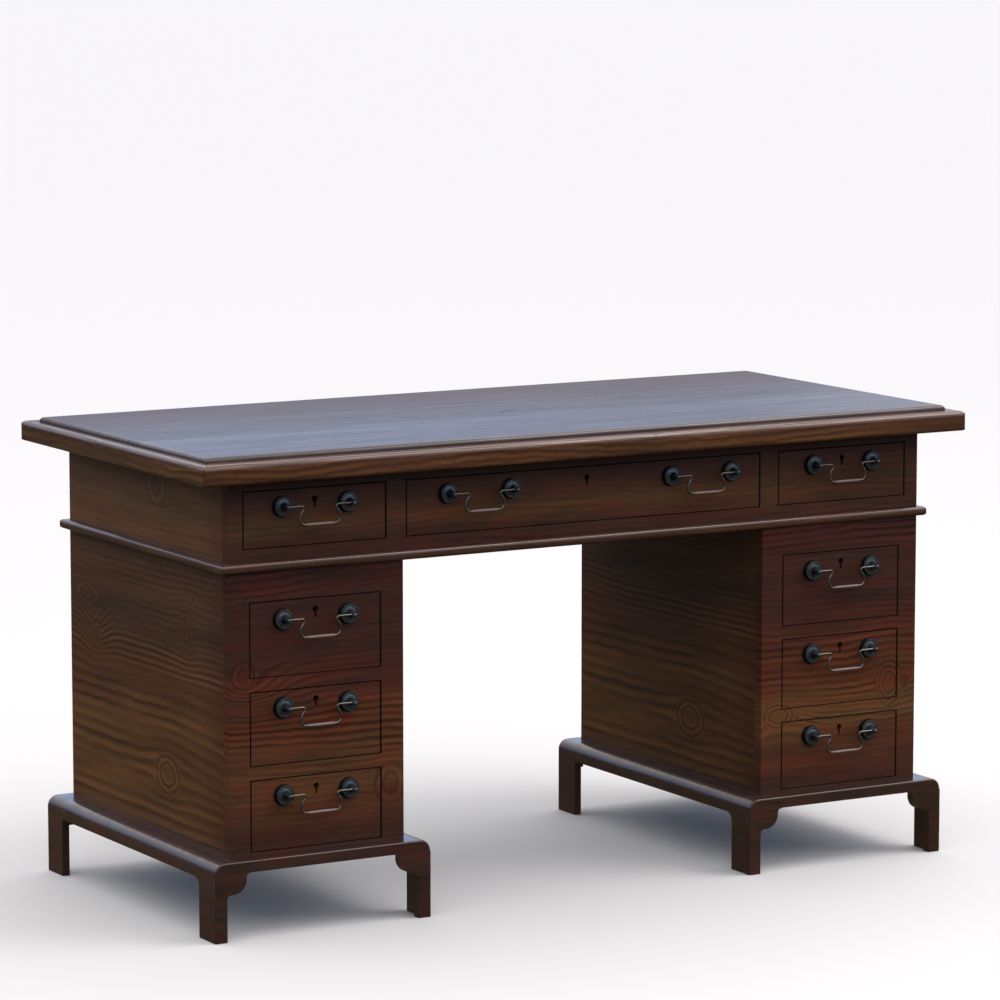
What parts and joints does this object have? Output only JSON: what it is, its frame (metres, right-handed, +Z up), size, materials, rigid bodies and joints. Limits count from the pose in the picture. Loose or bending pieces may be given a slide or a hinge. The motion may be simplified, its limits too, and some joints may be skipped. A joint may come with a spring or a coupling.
{
  "type": "pedestal desk",
  "caption": "Pedestal desk in dark stained wood: raised-field top, frieze drawers, drawer pedestals on bracket-foot bases, keyholes and swinging bail handles.",
  "frame": {"origin": "on the floor, at the centre of the top's outline", "axes": "+X runs to the right along the front, the front faces -Y, +Z is up"},
  "size_m": [1.503, 0.714, 0.8036],
  "materials": {
    "top_wood": "dark red-brown stain under satin lacquer",
    "top_edge_wood": "dark red-brown stain under satin lacquer",
    "moulding_wood": "dark red-brown stain under satin lacquer",
    "case_wood": "dark red-brown stain under satin lacquer",
    "base_wood": "dark red-brown stain under satin lacquer",
    "drawer_front_wood": "dark red-brown stain under satin lacquer",
    "drawer_box_wood": "plain pale softwood",
    "inner_wood": "plain softwood",
    "fitting_iron": "blackened, waxed",
    "bail_steel": "aged, dull"
  },
  "bodies": {
    "root": {"base_blocks_and_back_rails": "inner_wood", "frieze_back": "case_wood", "frieze_bottom_board": "case_wood", "frieze_ends": "case_wood", "frieze_front_frame": "case_wood", "frieze_runners": "inner_wood", "left_base_front_brackets": "base_wood", "left_base_side_boards": "base_wood", "left_base_top": "base_wood", "left_pedestal_front_frame": "case_wood", "left_pedestal_sides": "case_wood", "pedestal_backs": "case_wood", "pedestal_runners": "inner_wood", "pedestal_top_boards": "case_wood", "right_base_front_brackets": "base_wood", "right_base_side_boards": "base_wood", "right_base_top": "base_wood", "right_pedestal_front_frame": "case_wood", "right_pedestal_sides": "case_wood", "top_edge_moulding": "top_edge_wood", "top_panel": "top_wood", "top_underframe": "inner_wood", "waist_moulding": "moulding_wood"},
    "left_frieze_drawer": {"left_frieze_drawer_front": "drawer_front_wood", "left_frieze_drawer_box": "drawer_box_wood", "left_frieze_drawer_fittings": "fitting_iron"},
    "left_frieze_drawer_bail": {"left_frieze_drawer_bail": "bail_steel"},
    "centre_frieze_drawer": {"centre_frieze_drawer_front": "drawer_front_wood", "centre_frieze_drawer_box": "drawer_box_wood", "centre_frieze_drawer_fittings": "fitting_iron"},
    "centre_frieze_drawer_left_bail": {"centre_frieze_drawer_left_bail": "bail_steel"},
    "centre_frieze_drawer_right_bail": {"centre_frieze_drawer_right_bail": "bail_steel"},
    "right_frieze_drawer": {"right_frieze_drawer_front": "drawer_front_wood", "right_frieze_drawer_box": "drawer_box_wood", "right_frieze_drawer_fittings": "fitting_iron"},
    "right_frieze_drawer_bail": {"right_frieze_drawer_bail": "bail_steel"},
    "left_upper_drawer": {"left_upper_drawer_front": "drawer_front_wood", "left_upper_drawer_box": "drawer_box_wood", "left_upper_drawer_fittings": "fitting_iron"},
    "left_upper_drawer_bail": {"left_upper_drawer_bail": "bail_steel"},
    "left_middle_drawer": {"left_middle_drawer_front": "drawer_front_wood", "left_middle_drawer_box": "drawer_box_wood", "left_middle_drawer_fittings": "fitting_iron"},
    "left_middle_drawer_bail": {"left_middle_drawer_bail": "bail_steel"},
    "left_lower_drawer": {"left_lower_drawer_front": "drawer_front_wood", "left_lower_drawer_box": "drawer_box_wood", "left_lower_drawer_fittings": "fitting_iron"},
    "left_lower_drawer_bail": {"left_lower_drawer_bail": "bail_steel"},
    "right_upper_drawer": {"right_upper_drawer_front": "drawer_front_wood", "right_upper_drawer_box": "drawer_box_wood", "right_upper_drawer_fittings": "fitting_iron"},
    "right_upper_drawer_bail": {"right_upper_drawer_bail": "bail_steel"},
    "right_middle_drawer": {"right_middle_drawer_front": "drawer_front_wood", "right_middle_drawer_box": "drawer_box_wood", "right_middle_drawer_fittings": "fitting_iron"},
    "right_middle_drawer_bail": {"right_middle_drawer_bail": "bail_steel"},
    "right_lower_drawer": {"right_lower_drawer_front": "drawer_front_wood", "right_lower_drawer_box": "drawer_box_wood", "right_lower_drawer_fittings": "fitting_iron"},
    "right_lower_drawer_bail": {"right_lower_drawer_bail": "bail_steel"}
  },
  "joints": [
    {"name": "left_frieze_drawer_slide", "type": "slide", "parent": "root", "child": "left_frieze_drawer", "axis": [0, -1, 0], "range_m": [0, 0.4]},
    {"name": "left_frieze_drawer_bail_swing", "type": "hinge", "parent": "left_frieze_drawer", "child": "left_frieze_drawer_bail", "pos_m": [-0.52255, -0.3242, 0.7134], "axis": [-1, 0, 0], "range_deg": [-29.8, 209.8]},
    {"name": "centre_frieze_drawer_slide", "type": "slide", "parent": "root", "child": "centre_frieze_drawer", "axis": [0, -1, 0], "range_m": [0, 0.4]},
    {"name": "centre_frieze_drawer_left_bail_swing", "type": "hinge", "parent": "centre_frieze_drawer", "child": "centre_frieze_drawer_left_bail", "pos_m": [-0.21039, -0.3242, 0.7134], "axis": [-1, 0, 0], "range_deg": [-29.8, 209.8]},
    {"name": "centre_frieze_drawer_right_bail_swing", "type": "hinge", "parent": "centre_frieze_drawer", "child": "centre_frieze_drawer_right_bail", "pos_m": [0.22961, -0.3242, 0.7134], "axis": [-1, 0, 0], "range_deg": [-29.8, 209.8]},
    {"name": "right_frieze_drawer_slide", "type": "slide", "parent": "root", "child": "right_frieze_drawer", "axis": [0, -1, 0], "range_m": [0, 0.4]},
    {"name": "right_frieze_drawer_bail_swing", "type": "hinge", "parent": "right_frieze_drawer", "child": "right_frieze_drawer_bail", "pos_m": [0.52255, -0.3242, 0.7134], "axis": [-1, 0, 0], "range_deg": [-29.8, 209.8]},
    {"name": "left_upper_drawer_slide", "type": "slide", "parent": "root", "child": "left_upper_drawer", "axis": [0, -1, 0], "range_m": [0, 0.4]},
    {"name": "left_upper_drawer_bail_swing", "type": "hinge", "parent": "left_upper_drawer", "child": "left_upper_drawer_bail", "pos_m": [-0.5225, -0.3242, 0.526], "axis": [-1, 0, 0], "range_deg": [-29.8, 209.8]},
    {"name": "left_middle_drawer_slide", "type": "slide", "parent": "root", "child": "left_middle_drawer", "axis": [0, -1, 0], "range_m": [0, 0.4]},
    {"name": "left_middle_drawer_bail_swing", "type": "hinge", "parent": "left_middle_drawer", "child": "left_middle_drawer_bail", "pos_m": [-0.5225, -0.3242, 0.3783], "axis": [-1, 0, 0], "range_deg": [-29.8, 209.8]},
    {"name": "left_lower_drawer_slide", "type": "slide", "parent": "root", "child": "left_lower_drawer", "axis": [0, -1, 0], "range_m": [0, 0.4]},
    {"name": "left_lower_drawer_bail_swing", "type": "hinge", "parent": "left_lower_drawer", "child": "left_lower_drawer_bail", "pos_m": [-0.5225, -0.3242, 0.2318], "axis": [-1, 0, 0], "range_deg": [-29.8, 209.8]},
    {"name": "right_upper_drawer_slide", "type": "slide", "parent": "root", "child": "right_upper_drawer", "axis": [0, -1, 0], "range_m": [0, 0.4]},
    {"name": "right_upper_drawer_bail_swing", "type": "hinge", "parent": "right_upper_drawer", "child": "right_upper_drawer_bail", "pos_m": [0.5225, -0.3242, 0.526], "axis": [-1, 0, 0], "range_deg": [-29.8, 209.8]},
    {"name": "right_middle_drawer_slide", "type": "slide", "parent": "root", "child": "right_middle_drawer", "axis": [0, -1, 0], "range_m": [0, 0.4]},
    {"name": "right_middle_drawer_bail_swing", "type": "hinge", "parent": "right_middle_drawer", "child": "right_middle_drawer_bail", "pos_m": [0.5225, -0.3242, 0.3783], "axis": [-1, 0, 0], "range_deg": [-29.8, 209.8]},
    {"name": "right_lower_drawer_slide", "type": "slide", "parent": "root", "child": "right_lower_drawer", "axis": [0, -1, 0], "range_m": [0, 0.4]},
    {"name": "right_lower_drawer_bail_swing", "type": "hinge", "parent": "right_lower_drawer", "child": "right_lower_drawer_bail", "pos_m": [0.5225, -0.3242, 0.2318], "axis": [-1, 0, 0], "range_deg": [-29.8, 209.8]}
  ]
}
